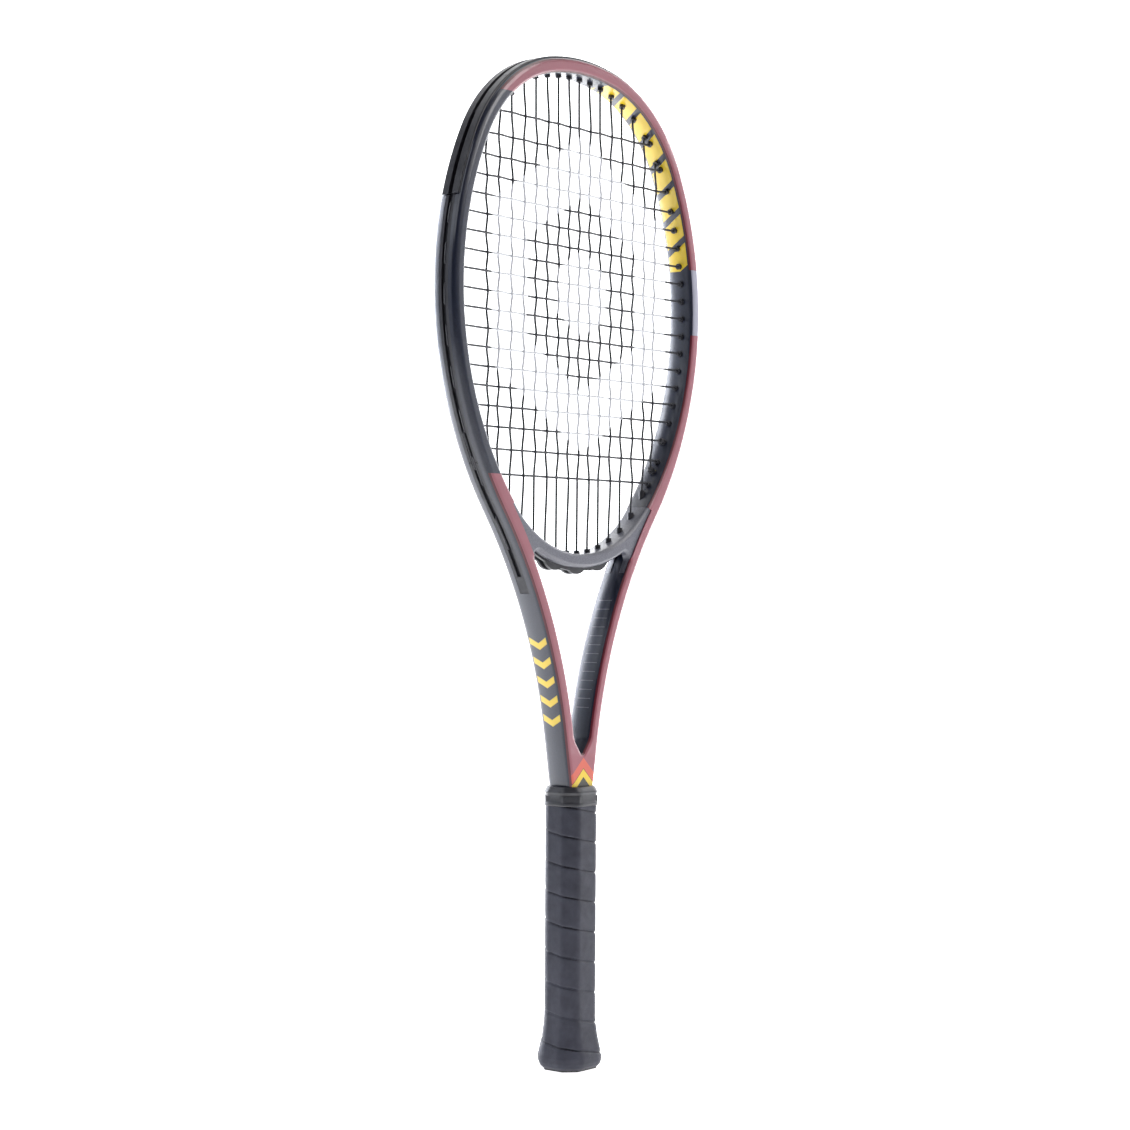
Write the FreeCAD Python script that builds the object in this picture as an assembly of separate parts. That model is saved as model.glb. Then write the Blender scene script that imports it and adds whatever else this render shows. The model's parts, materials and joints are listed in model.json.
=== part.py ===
"""Tennis racket: moulded carbon hoop and shafts, strung bed, grommet strips and gripped handle.

X is the racket's width, Y is square to the strings and Z runs from the butt up to the tip.
The origin is the middle of the butt's underside. Every length is in millimetres.
"""
import FreeCAD, Part
import math
import os

Vec = FreeCAD.Vector
Y_AXIS = Vec(0, 1, 0)

# ---- frame: a tube of constant depth, bent into a hoop and two shafts -----------------------
LENGTH = 685.8
BEAM = 21.5
TUBE = 10.0
SHAFT_WIDTH = 9.8
BUMPER_PROUD = 1.3
HOOP_TOP = LENGTH - BUMPER_PROUD
EDGE_ROUND = 4.0
THROAT_EDGE_ROUND = 3.2

# Tangent arcs of the frame's outer wall, from the tip down one side: (radius, heading at the end).
# A heading is the clockwise angle from +X. A negative radius bends the other way. The shaft's
# bend is divided into short arcs, so that its long edge rounds mesh evenly.
SHAFT_BEND = -349.8
SHAFT_HEADINGS = (119.0, 117.0, 115.0, 111.5, 108.0, 105.0, 102.2, 99.7)
OUTER_ARCS = [(168.0, 12.0), (107.0, 63.0), (226.0, 102.8), (258.6, 126.6)]
FIRST_SHAFT_ARC = len(OUTER_ARCS)
OUTER_ARCS += [(SHAFT_BEND, heading) for heading in SHAFT_HEADINGS]
SHOULDER_Z = 193.0
SHOULDER_RADIUS = -80.0
FRAME_END_Z = 18.0

# Tangent arcs of the hoop's inner wall; the last one closes on the centre line.
INNER_ARCS = [(168.0 - TUBE, 12.0), (107.0 - TUBE, 63.0), (226.0 - TUBE, 130.6)]

BRIDGE_THICK = 9.2
BRIDGE_BITE = 0.4
BRIDGE_LOW_HEADING = 118.2
THROAT_BOTTOM_Z = 212.5
THROAT_CLIP_Z = 376.0
THROAT_CORNER = 4.4
THROAT_POINT_ROUND = 1.6
THROAT_POINT_ANGLE = 36.0
THROAT_SHOULDER_ROUND = 16.0
BRIDGE_SETBACK = 1.1
BRIDGE_EDGE_ROUND = 2.8

WALL = 1.7
CAVITY_OUTER_INSET = 3.8
CAVITY_SHAFT_INSET = 7.2
CAVITY_HALF_DEPTH = BEAM / 2 - WALL
WEB = 3.0

# ---- grommet strips -----------------------------------------------------------------------------
GROOVE_DEPTH = 2.6
GROOVE_HALF = 4.0
GROOVE_END_Z = 322.0
FIT = 0.05
STRIP_HALF = GROOVE_HALF - FIT
STRIP_FACE = 0.1
CHANNEL_DEPTH = 2.0
CHANNEL_HALF = 1.7
CHANNEL_END_Z = 333.0
BUMPER_HALF = 7.4
BUMPER_END_Z = 578.0
SIDE_END_Z = 406.4
STRIP_GAP = 0.5
BARREL_RADIUS = 2.1
BORE_RADIUS = 1.0
BARREL_PROUD = 2.1
THROAT_BAND = 2.3
THROAT_BAND_SHIFT = 8.0
THROAT_BAND_REACH = 54.0
HUMP_HEIGHT = 4.5
HUMP_RADIUS = 13.0

# ---- strings ------------------------------------------------------------------------------------
STRING_RADIUS = 0.65
MAIN_Y = 0.8
CROSS_Y = -0.8
MAINS = 16
CROSSES = 19
MAIN_GAP_CENTRE = 11.0
MAIN_GAP_GROWTH = 0.33
CROSS_TOP_Z = 640.0
CROSS_BOTTOM_Z = 400.5
BEND_AHEAD = 2.6
LOOP_INSET = 0.55
BEND_RADIUS = 1.3
LAST_MAIN_LOW_Z = 409.7
MAIN_TIE_CROSS = 16
CROSS_TIE_MAIN = 5
KNOT_RADIUS = 1.7
KNOT_SHIFT = 1.2

# ---- handle -------------------------------------------------------------------------------------
PALLET_W, PALLET_D = 30.4, 26.2
PALLET_TOP_Z = 188.5
PALLET_BOTTOM_Z = 8.0
CAP_TOP_Z = 36.0
CAP_WALL = 1.2
GRIP_THICK = 2.0
BEVEL_SHARE = 0.255
GRIP_TOP_Z = 185.2
GRIP_BOTTOM_Z = 1.2
GRIP_W, GRIP_D = PALLET_W + 2 * GRIP_THICK, PALLET_D + 2 * GRIP_THICK
BUTT_W, BUTT_D = 35.4, 31.4
RECESS_MARGIN = 6.6
RECESS_DEPTH = 1.6
FLARE = [(36.0, 0.0), (30.0, 0.9), (22.0, 3.1), (14.0, 6.6), (9.0, 8.8), (5.6, 8.4), (3.2, 6.6), (1.2, 3.4)]
COLLAR_W, COLLAR_D = 36.4, 32.2
COLLAR_BOTTOM_Z, COLLAR_SHOULDER_Z, COLLAR_TOP_Z = 178.4, 187.0, 191.5
COLLAR_TAPER = 4.4
TAPE_THICK = 0.35
TAPE_BOTTOM_Z = 179.4
DOOR_W, DOOR_D = 21.0, 17.0
DOOR_GAP = 0.3
TACK_HEAD_Y, TACK_Z = 18.8, 12.0


# ---- outlines -----------------------------------------------------------------------------------
def unit_normal(heading):
    """Outward normal of a wall walked clockwise, in the XZ plane."""
    angle = math.radians(heading)
    return Vec(math.sin(angle), 0, math.cos(angle))


def walk(top_z, arcs):
    """Chain tangent arcs from (0, top_z): a list of (centre, radius, start, end)."""
    place = Vec(0, 0, top_z)
    heading = 0.0
    chain = []
    for radius, end in arcs:
        centre = place - unit_normal(heading) * radius
        chain.append((centre, radius, heading, end))
        place = centre + unit_normal(end) * radius
        heading = end
    return chain


def chain_point(link, heading, offset=0.0):
    centre, radius = link[0], link[1]
    return centre + unit_normal(heading) * (radius + offset)


def chain_end(chain, offset=0.0):
    return chain_point(chain[-1], chain[-1][3], offset)


def chain_edges(chain, offset):
    edges = []
    for link in chain:
        middle = (link[2] + link[3]) / 2
        ends = [chain_point(link, heading, offset) for heading in (link[2], middle, link[3])]
        edges.append(Part.Arc(*ends).toShape())
    return edges


def mirrored(edges):
    return [edge.mirror(Vec(0, 0, 0), Vec(1, 0, 0)) for edge in edges]


def slab(edges, half_depth):
    """Extrude the closed outline of these edges, from -half_depth to half_depth in Y."""
    wire = Part.Wire(Part.__sortEdges__(edges))
    face = Part.Face(wire)
    face.translate(Vec(0, -half_depth, 0))
    return face.extrude(Vec(0, 2 * half_depth, 0))


def segment(start, end):
    return Part.makeLine(start, end)


def outer_edges(offset):
    """One side of the outer wall, down past the shoulder to the end inside the handle."""
    chain = OUTER_CHAIN
    edges = chain_edges(chain, offset)
    end = chain_end(chain)
    heading = chain[-1][3]
    slope = Vec(math.cos(math.radians(heading)), 0, -math.sin(math.radians(heading)))
    run = (end.z - SHOULDER_Z) / -slope.z
    low = end + slope * run
    normal = unit_normal(heading)
    edges.append(segment(end + normal * offset, low + normal * offset))
    centre = low - normal * SHOULDER_RADIUS
    bend = (centre, SHOULDER_RADIUS, heading, 90.0)
    edges += chain_edges([bend], offset)
    foot = chain_point(bend, 90.0, offset)
    edges.append(segment(foot, Vec(foot.x, 0, FRAME_END_Z)))
    return edges


def outer_slab(offset, half_depth):
    edges = outer_edges(offset)
    foot = edges[-1].Vertexes[-1].Point
    floor = segment(Vec(foot.x, 0, FRAME_END_Z), Vec(-foot.x, 0, FRAME_END_Z))
    return slab(edges + [floor] + mirrored(edges), half_depth)


def hoop_slab(offset, half_depth):
    edges = chain_edges(INNER_CHAIN, offset)
    return slab(edges + mirrored(edges), half_depth)


def box(x_half, y_half, z_low, z_high):
    return Part.makeBox(2 * x_half, 2 * y_half, z_high - z_low, Vec(-x_half, -y_half, z_low))


def closing_arc():
    """The arc under the hoop: tangent to the last inner arc and level on the centre line."""
    chain = walk(HOOP_TOP - TUBE, INNER_ARCS)
    end = chain_end(chain)
    radius = end.x / math.sin(math.radians(chain[-1][3]))
    return (radius, 180.0)


OUTER_CHAIN = walk(HOOP_TOP, OUTER_ARCS)
INNER_CHAIN = walk(HOOP_TOP - TUBE, INNER_ARCS + [closing_arc()])
BRIDGE_CENTRE = INNER_CHAIN[-1][0]
BRIDGE_RADIUS = INNER_CHAIN[-1][1] + BRIDGE_THICK


def rod(radius, start, end):
    return Part.makeCylinder(radius, (end - start).Length, start, end - start)


def largest(shape):
    return max(shape.Solids, key=lambda solid: solid.Volume)


def edges_through(shape, half_depth, z_low, z_high):
    """The edges of a slab that run straight from its front to its back, between two heights."""
    chosen = []
    for edge in shape.Edges:
        room = edge.BoundBox
        straight = room.YLength > half_depth and room.XLength < 0.01 and room.ZLength < 0.01
        if straight and z_low < room.ZMin < z_high:
            chosen.append(edge)
    return chosen


def throat_slab(margin, half_depth):
    """The open triangle between the shafts, below the bridge, shrunk all round by a margin."""
    inside = outer_slab(-SHAFT_WIDTH - margin, half_depth)
    point = Vec(0, 0, THROAT_BOTTOM_Z + margin)
    rise = (THROAT_CLIP_Z - point.z) * math.tan(math.radians(THROAT_POINT_ANGLE))
    left, right = Vec(-rise, 0, THROAT_CLIP_Z), Vec(rise, 0, THROAT_CLIP_Z)
    wedge = slab([segment(point, left), segment(left, right), segment(right, point)], half_depth)
    disc = rod(BRIDGE_RADIUS + margin, BRIDGE_CENTRE - Y_AXIS * BEAM, BRIDGE_CENTRE + Y_AXIS * BEAM)
    shape = largest(inside.common(wedge).cut(disc))
    shoulders = edges_through(shape, half_depth, THROAT_BOTTOM_Z + 3, THROAT_BOTTOM_Z + 20)
    shape = shape.makeFillet(THROAT_SHOULDER_ROUND, shoulders)
    tip = edges_through(shape, half_depth, THROAT_BOTTOM_Z - 1, THROAT_BOTTOM_Z + 3)
    shape = shape.makeFillet(THROAT_POINT_ROUND, tip)
    corners = edges_through(shape, half_depth, 345, THROAT_CLIP_Z)
    return shape.makeFillet(THROAT_CORNER, corners)


# ---- string places ------------------------------------------------------------------------------
def main_places():
    """X of each main string on the +X side: the gap widens outwards."""
    places = [MAIN_GAP_CENTRE / 2]
    for step in range(1, MAINS // 2):
        places.append(places[-1] + MAIN_GAP_CENTRE + MAIN_GAP_GROWTH * step)
    return places


def cross_places():
    """Z of each cross string from the tip down: the gap widens towards both ends."""
    count = CROSSES - 1
    shape = [1 + (abs(2 * (i + 0.5) / count - 1.0)) ** 5 * 0.42 for i in range(count)]
    scale = (CROSS_TOP_Z - CROSS_BOTTOM_Z) / sum(shape)
    places = [CROSS_TOP_Z]
    for value in shape:
        places.append(places[-1] - value * scale)
    return places


def rim(value, axis, lower):
    """Where the bend line just inside the hoop meets x=value or z=value: (link, heading)."""
    for link in INNER_CHAIN:
        centre, radius = link[0], link[1] - BEND_AHEAD
        shift = (value - centre.x) / radius if axis == "x" else (value - centre.z) / radius
        if abs(shift) > 1:
            continue
        if axis == "x":
            first = math.degrees(math.asin(shift))
            heading = 180.0 - first if lower else first
        else:
            heading = math.degrees(math.acos(shift))
        if link[2] <= heading <= link[3]:
            return link, heading
    raise ValueError("no rim at %s=%s" % (axis, value))


class Hole:
    """A string hole: the bend inside the hoop and the mouth in the outer channel."""

    def __init__(self, bend, direction, depth, y, piece):
        self.bend = Vec(bend.x, y, bend.z)
        self.direction = direction
        self.mouth = self.bend + direction * depth
        self.tip = self.bend + direction * (BEND_AHEAD - BARREL_PROUD)
        self.piece = piece

    def mirror(self, piece):
        flat = Vec(-self.bend.x, 0, self.bend.z)
        direction = Vec(-self.direction.x, 0, self.direction.z)
        return Hole(flat, direction, (self.mouth - self.bend).Length, self.bend.y, piece)


def outer_depth(start, direction, inset):
    """Distance from start along direction to the outer wall moved in by inset."""
    ray = segment(start, start + direction * 60)
    best = None
    for edge in outer_edges(-inset):
        for hit in ray.distToShape(edge)[1] if ray.distToShape(edge)[0] < 1e-6 else []:
            reach = (hit[0] - start).Length
            best = reach if best is None else min(best, reach)
    return best


def strip_at(mouth):
    """Which grommet strip a mouth in the outer channel belongs to."""
    side = "right" if mouth.x > 0 else "left"
    if mouth.z > BUMPER_END_Z:
        return "head_bumper"
    if mouth.z > SIDE_END_Z:
        return side + "_side_strip"
    return side + "_shaft_strip"


def rim_hole(value, axis, lower, y):
    """A hole square to the hoop wall, on the +X side."""
    link, heading = rim(value, axis, lower)
    bend = chain_point(link, heading, -BEND_AHEAD)
    direction = unit_normal(heading)
    depth = outer_depth(bend, direction, LOOP_INSET)
    return Hole(bend, direction, depth, y, strip_at(bend + direction * depth))


def straight_hole(x, y):
    """A hole parallel to the mains, on the +X side, through the bridge or the top of a shaft."""
    link, heading = rim(x, "x", True)
    bend = chain_point(link, heading, -BEND_AHEAD)
    down = Vec(0, 0, -1)
    if x < THROAT_BAND_REACH:
        under = BRIDGE_CENTRE.z - math.sqrt((BRIDGE_RADIUS + 1.0) ** 2 - x ** 2)
        return Hole(bend, down, bend.z - under, y, "throat_strip")
    depth = outer_depth(bend, down, LOOP_INSET)
    return Hole(bend, down, depth, y, "right_shaft_strip")


def on_left(hole):
    name = hole.piece.replace("right", "left")
    return hole.mirror(name)


def plan_strings():
    """Every string hole, and the two strings' routes through them.

    Each end of a string is tied off in a double hole that it shares with the other string.
    """
    tops = [rim_hole(x, "x", False, MAIN_Y) for x in main_places()]
    lows = [straight_hole(x, MAIN_Y) for x in main_places()[:-1]]
    lows.append(rim_hole(LAST_MAIN_LOW_Z, "z", True, MAIN_Y))
    tie = rim_hole(cross_places()[MAIN_TIE_CROSS], "z", True, MAIN_Y)
    route = [tie.bend, tie.mouth]
    going_up = True
    for top, low in reversed(list(zip(tops, lows))):
        pair = [low, top] if going_up else [top, low]
        route += [pair[0].mouth, pair[0].bend, pair[1].bend, pair[1].mouth]
        going_up = not going_up
    other = [Vec(-p.x, p.y, p.z) for p in reversed(route)]
    main_route = route + other
    rights = [rim_hole(z, "z", False, CROSS_Y) for z in cross_places()]
    lefts = [on_left(hole) for hole in rights]
    tie_top = on_left(rim_hole(main_places()[CROSS_TIE_MAIN], "x", False, CROSS_Y))
    tie_low = rim_hole(LAST_MAIN_LOW_Z, "z", True, CROSS_Y)
    cross_route = [tie_top.bend, tie_top.mouth]
    for index, (left, right) in enumerate(zip(lefts, rights)):
        pair = [left, right] if index % 2 == 0 else [right, left]
        cross_route += [pair[0].mouth, pair[0].bend, pair[1].bend, pair[1].mouth]
    cross_route += [tie_low.mouth, tie_low.bend]
    holes = tops + lows + [tie]
    holes += [on_left(hole) for hole in holes]
    holes += rights + lefts + [tie_top, tie_low]
    return holes, main_route, cross_route


def route_wire(points):
    """Straight runs joined by tangent arcs."""
    edges = []
    last = points[0]
    for before, corner, after in zip(points, points[1:], points[2:]):
        one = (before - corner).normalize()
        two = (after - corner).normalize()
        half = one.getAngle(two) / 2
        if math.pi / 2 - half < 0.01:
            continue
        room = min((before - corner).Length, (after - corner).Length) * 0.45
        reach = min(BEND_RADIUS / math.tan(half), room)
        radius = reach * math.tan(half)
        inward = (one + two).normalize()
        middle = corner + inward * (radius / math.sin(half) - radius)
        start = corner + one * reach
        end = corner + two * reach
        edges.append(segment(last, start))
        edges.append(Part.Arc(start, middle, end).toShape())
        last = end
    edges.append(segment(last, points[-1]))
    return Part.Wire(edges)


def string_solid(points):
    wire = route_wire(points)
    ring = Part.Wire(Part.makeCircle(STRING_RADIUS, points[0], points[1] - points[0]))
    tube = wire.makePipeShell([ring], True, False)
    for end, inner in ((points[0], points[1]), (points[-1], points[-2])):
        away = (end - inner).normalize()
        aside = Y_AXIS * math.copysign(KNOT_SHIFT, end.y)
        tube = tube.fuse(Part.makeSphere(KNOT_RADIUS, end + away * KNOT_RADIUS * 0.8 + aside))
    return tube


# ---- frame pieces -------------------------------------------------------------------------------
def face_edges(shape, half_depth):
    chosen = []
    for edge in shape.Edges:
        room = edge.BoundBox
        if room.YLength < 0.001 and abs(abs(room.YMin) - half_depth) < 0.001:
            chosen.append(edge)
    return chosen


def moulding(half_depth, outer_round, inner_round):
    """Hoop, bridge and shafts as one blended form, before it is divided."""
    body = outer_slab(0.0, half_depth)
    rim = [e for e in face_edges(body, half_depth) if e.BoundBox.ZLength > 0.01]
    body = body.makeFillet(outer_round, rim)
    body = body.cut(hoop_slab(0.0, BEAM)).cut(throat_slab(0.0, BEAM))
    return body.makeFillet(inner_round, face_edges(body, half_depth))


def bridge_block():
    """The block that holds the bridge: its ends bite a little into both shafts, square to the walls."""
    shaft = OUTER_CHAIN[FIRST_SHAFT_ARC]
    inset = BRIDGE_BITE - SHAFT_WIDTH
    headings = (shaft[2], (shaft[2] + BRIDGE_LOW_HEADING) / 2, BRIDGE_LOW_HEADING)
    top, middle, low = [chain_point(shaft, heading, inset) for heading in headings]
    above = top - unit_normal(shaft[2]) * TUBE
    below = low - unit_normal(BRIDGE_LOW_HEADING) * 2 * BRIDGE_BITE
    side = [segment(above, top), Part.Arc(top, middle, low).toShape(), segment(low, below)]
    ends = [segment(spot, Vec(-spot.x, 0, spot.z)) for spot in (above, below)]
    return slab(side + ends + mirrored(side), BEAM)


def cavity():
    hollow = outer_slab(-CAVITY_OUTER_INSET, CAVITY_HALF_DEPTH)
    hollow = hollow.cut(hoop_slab(WALL, BEAM))
    gap = outer_slab(-CAVITY_SHAFT_INSET, BEAM).common(
        box(LENGTH, BEAM, THROAT_BOTTOM_Z - WALL, 396.0))
    web = box(WEB / 2, BEAM, 0, THROAT_BOTTOM_Z)
    return hollow.cut(gap).cut(web)


def groove():
    ring = box(LENGTH, GROOVE_HALF, GROOVE_END_Z, LENGTH + 10)
    return ring.cut(outer_slab(-GROOVE_DEPTH, BEAM))


def hole_cutters(holes, names=None):
    cutters = []
    for hole in holes:
        if names and hole.piece not in names:
            continue
        start = hole.bend - hole.direction * 0.5
        cutters.append(rod(BARREL_RADIUS + FIT, start, hole.mouth + hole.direction * 4))
    return cutters


def frame_pieces(holes):
    half = BEAM / 2
    block = bridge_block()
    hairpin = moulding(half, EDGE_ROUND, THROAT_EDGE_ROUND).cut(block).cut(cavity()).cut(groove())
    bridge = moulding(half - BRIDGE_SETBACK, EDGE_ROUND, BRIDGE_EDGE_ROUND).common(block)
    under = rod(BRIDGE_RADIUS - 1.0, BRIDGE_CENTRE - Y_AXIS * GROOVE_HALF,
                BRIDGE_CENTRE + Y_AXIS * GROOVE_HALF)
    slot = box(THROAT_BAND_REACH + 2, GROOVE_HALF, 330, 360).cut(under)
    bridge = bridge.cut(slot)
    hairpin = hairpin.cut(hole_cutters(holes))
    bridge = bridge.cut(hole_cutters(holes))
    return hairpin, bridge


# ---- grommet pieces -----------------------------------------------------------------------------
def barrels(holes, name):
    solids = []
    bores = []
    for hole in holes:
        if hole.piece != name:
            continue
        root = hole.mouth - hole.direction * (CHANNEL_DEPTH - LOOP_INSET + 0.1)
        solids.append(rod(BARREL_RADIUS, hole.tip, root))
        bores.append(rod(BORE_RADIUS, hole.tip - hole.direction, hole.mouth + hole.direction * 2))
    return solids, bores


def channel_strip(z_low, z_high, sides):
    """The strip that lies in the frame's outer groove."""
    room = box(LENGTH, STRIP_HALF, z_low, z_high)
    band = outer_slab(-STRIP_FACE, STRIP_HALF).cut(outer_slab(-GROOVE_DEPTH + FIT, BEAM))
    band = band.common(room)
    if sides:
        keep = Part.makeBox(LENGTH, BEAM, LENGTH, Vec(0 if sides > 0 else -LENGTH, -BEAM / 2, 0))
        band = band.common(keep)
    return band


def add_barrels(band, holes, name, channel):
    solids, bores = barrels(holes, name)
    return largest(band.fuse(solids).cut(bores).cut(channel).removeSplitter())


def outer_channel():
    return box(LENGTH, CHANNEL_HALF, CHANNEL_END_Z, LENGTH + 10).cut(outer_slab(-CHANNEL_DEPTH, BEAM))


def bumper_crown():
    """The part of the head bumper that stands proud of the hoop."""
    crown = outer_slab(BUMPER_PROUD, BUMPER_HALF)
    rounded = [e for e in face_edges(crown, BUMPER_HALF) if e.BoundBox.ZLength > 0.01]
    crown = crown.makeFillet(BUMPER_PROUD * 0.8, rounded)
    crown = crown.cut(outer_slab(FIT, BEAM))
    crown = crown.common(box(LENGTH, BEAM, BUMPER_END_Z + STRIP_GAP, LENGTH + 10))
    neck = outer_slab(FIT * 2, STRIP_HALF).cut(outer_slab(-STRIP_FACE * 2, BEAM))
    neck = neck.common(box(LENGTH, BEAM, BUMPER_END_Z + STRIP_GAP, LENGTH + 10))
    return crown.fuse(neck)


def head_bumper(holes):
    keel = channel_strip(BUMPER_END_Z + STRIP_GAP, LENGTH + 10, 0)
    return add_barrels(keel.fuse(bumper_crown()), holes, "head_bumper", outer_channel())


def side_strip(holes, name):
    side = 1 if name.startswith("right") else -1
    if name.endswith("side_strip"):
        band = channel_strip(SIDE_END_Z + STRIP_GAP, BUMPER_END_Z, side)
    else:
        band = channel_strip(GROOVE_END_Z + 0.3, SIDE_END_Z, side)
    return add_barrels(band, holes, name, outer_channel())


def bridge_disc(radius, half_depth, drop=0.0):
    """A disc about the bridge's centre of curvature, or about a point below it."""
    centre = BRIDGE_CENTRE - Vec(0, 0, drop)
    return rod(radius, centre - Y_AXIS * half_depth, centre + Y_AXIS * half_depth)


def loop_middles():
    """X of the middle of each string loop under the bridge."""
    places = main_places()
    outer = [(places[i] + places[i + 1]) / 2 for i in (1, 3)]
    return [0.0] + outer + [-x for x in outer]


def throat_strip(holes):
    """The strip under the bridge: a band with a hump over each string loop."""
    seat = bridge_disc(BRIDGE_RADIUS - 1.0 + FIT, BEAM)
    thick = bridge_disc(BRIDGE_RADIUS - THROAT_BAND_SHIFT, STRIP_HALF, THROAT_BAND_SHIFT + THROAT_BAND)
    opening = throat_slab(FIT, STRIP_HALF)
    band = bridge_disc(BRIDGE_RADIUS + FIT, STRIP_HALF).cut(seat)
    band = band.common(box(THROAT_BAND_REACH, STRIP_HALF, 330, 362))
    band = band.fuse(thick.common(opening).common(box(THROAT_BAND_REACH - 4, BEAM, 330, 362)))
    for x in loop_middles():
        height = HUMP_HEIGHT if abs(x) < 40 else HUMP_HEIGHT * 0.5
        low = BRIDGE_CENTRE.z - math.sqrt(BRIDGE_RADIUS ** 2 - x ** 2) - height
        middle = Vec(x, 0, low + HUMP_RADIUS)
        hump = rod(HUMP_RADIUS, middle - Y_AXIS * STRIP_HALF, middle + Y_AXIS * STRIP_HALF)
        band = band.fuse(hump.common(opening))
    channel = box(LENGTH, CHANNEL_HALF, 330, 362).cut(bridge_disc(BRIDGE_RADIUS - 0.2, BEAM))
    return add_barrels(largest(band), holes, "throat_strip", channel)


# ---- handle pieces ------------------------------------------------------------------------------
def octagon(width, depth, z):
    """Grip section: flats front and back, 45 degree bevels between them and the sides."""
    bevel = depth * BEVEL_SHARE
    half_w, half_d = width / 2, depth / 2
    corners = [(half_w, half_d - bevel), (half_w - bevel, half_d), (bevel - half_w, half_d),
               (-half_w, half_d - bevel), (-half_w, bevel - half_d), (bevel - half_w, -half_d),
               (half_w - bevel, -half_d), (half_w, bevel - half_d)]
    points = [Vec(x, y, z) for x, y in corners]
    return Part.makePolygon(points + points[:1])


def prism(width, depth, z_low, z_high):
    return Part.Face(octagon(width, depth, z_low)).extrude(Vec(0, 0, z_high - z_low))


def flare(extra, top=CAP_TOP_Z, bottom=GRIP_BOTTOM_Z):
    """The widening of the butt, grown all round by extra."""
    wires = [octagon(PALLET_W + grow + 2 * extra, PALLET_D + grow + 2 * extra, z)
             for z, grow in FLARE if bottom <= z <= top]
    return Part.makeLoft(wires, True, False)


def shaft_core(clearance, z_low, z_high):
    """The two shafts where they run down together inside the handle."""
    core = outer_slab(clearance, BEAM / 2 + clearance)
    edges = [e for e in face_edges(core, BEAM / 2 + clearance) if e.BoundBox.ZLength > 0.01]
    core = core.makeFillet(EDGE_ROUND + clearance, edges)
    return core.common(box(60, BEAM, z_low, z_high))


def handle_pallet():
    body = prism(PALLET_W, PALLET_D, CAP_TOP_Z + 0.2, PALLET_TOP_Z)
    shrink = 2 * CAP_WALL
    neck = prism(PALLET_W - shrink, PALLET_D - shrink, PALLET_BOTTOM_Z, CAP_TOP_Z + 0.2)
    body = body.fuse(neck).cut(shaft_core(FIT, FRAME_END_Z, PALLET_TOP_Z + 5))
    well = prism(DOOR_W + 1.0, DOOR_D + 1.0, PALLET_BOTTOM_Z - 1, FRAME_END_Z)
    return body.cut(well)


def butt_cap():
    shrink = 2 * (CAP_WALL - FIT)
    cap = flare(0.0)
    rim = prism(BUTT_W, BUTT_D, 0.0, GRIP_BOTTOM_Z)
    rim = rim.makeFillet(0.8, [e for e in rim.Edges if e.BoundBox.ZLength < 0.01 and e.BoundBox.ZMin < 0.01])
    cap = cap.fuse(rim)
    cap = cap.cut(prism(PALLET_W - shrink, PALLET_D - shrink, PALLET_BOTTOM_Z, CAP_TOP_Z + 1))
    cap = cap.cut(prism(BUTT_W - RECESS_MARGIN, BUTT_D - RECESS_MARGIN, -1.0, RECESS_DEPTH))
    cap = cap.cut(shaft_core(FIT, FRAME_END_Z, CAP_TOP_Z + 1))
    return cap.cut(prism(DOOR_W, DOOR_D, 0.0, PALLET_BOTTOM_Z + 1))


def butt_cap_cover():
    """Trap door in the cap: a plate with a rim behind it and a finger notch."""
    width, depth = DOOR_W - 2 * DOOR_GAP, DOOR_D - 2 * DOOR_GAP
    plate = prism(width, depth, RECESS_DEPTH, 3.6)
    skirt = prism(width, depth, 3.6, 11.0).cut(prism(width - 3.0, depth - 3.0, 3.6, 11.0))
    notch = Part.makeBox(8.0, 1.6, 0.8, Vec(-4.0, -depth / 2 + 1.2, RECESS_DEPTH))
    return plate.fuse(skirt).removeSplitter().cut(notch)


def grip_wrap():
    straight = prism(GRIP_W, GRIP_D, CAP_TOP_Z, GRIP_TOP_Z)
    straight = straight.cut(prism(PALLET_W + 2 * FIT, PALLET_D + 2 * FIT, CAP_TOP_Z, GRIP_TOP_Z))
    lower = flare(GRIP_THICK).cut(flare(FIT))
    return straight.fuse(lower).removeSplitter()


def finishing_tape():
    outer = prism(GRIP_W + 2 * TAPE_THICK, GRIP_D + 2 * TAPE_THICK, TAPE_BOTTOM_Z, GRIP_TOP_Z)
    return outer.cut(prism(GRIP_W + 2 * FIT, GRIP_D + 2 * FIT, TAPE_BOTTOM_Z, GRIP_TOP_Z))


def grip_collar():
    """The rubber ring over the end of the grip: a straight band and a taper up to the shafts."""
    body = prism(COLLAR_W, COLLAR_D, COLLAR_BOTTOM_Z, COLLAR_SHOULDER_Z)
    uprights = [e for e in body.Edges if e.BoundBox.ZLength > 5]
    body = body.makeFillet(3.0, uprights)
    lips = [e for e in body.Edges if e.BoundBox.ZLength < 0.01]
    body = body.makeFillet(1.0, lips)
    cone = Part.makeLoft([octagon(COLLAR_W - 1.4, COLLAR_D - 1.4, COLLAR_SHOULDER_Z - 1.0),
                          octagon(COLLAR_W - COLLAR_TAPER, COLLAR_D - COLLAR_TAPER, COLLAR_TOP_Z)], True, True)
    body = body.fuse(cone)
    step = 2 * TAPE_THICK + 4 * FIT
    body = body.cut(prism(GRIP_W + step, GRIP_D + step, COLLAR_BOTTOM_Z - 1, GRIP_TOP_Z + 0.4))
    body = body.cut(prism(PALLET_W + 0.2, PALLET_D + 0.2, GRIP_TOP_Z, PALLET_TOP_Z + 0.4))
    return body.cut(shaft_core(0.2, PALLET_TOP_Z, COLLAR_TOP_Z + 5))


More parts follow.
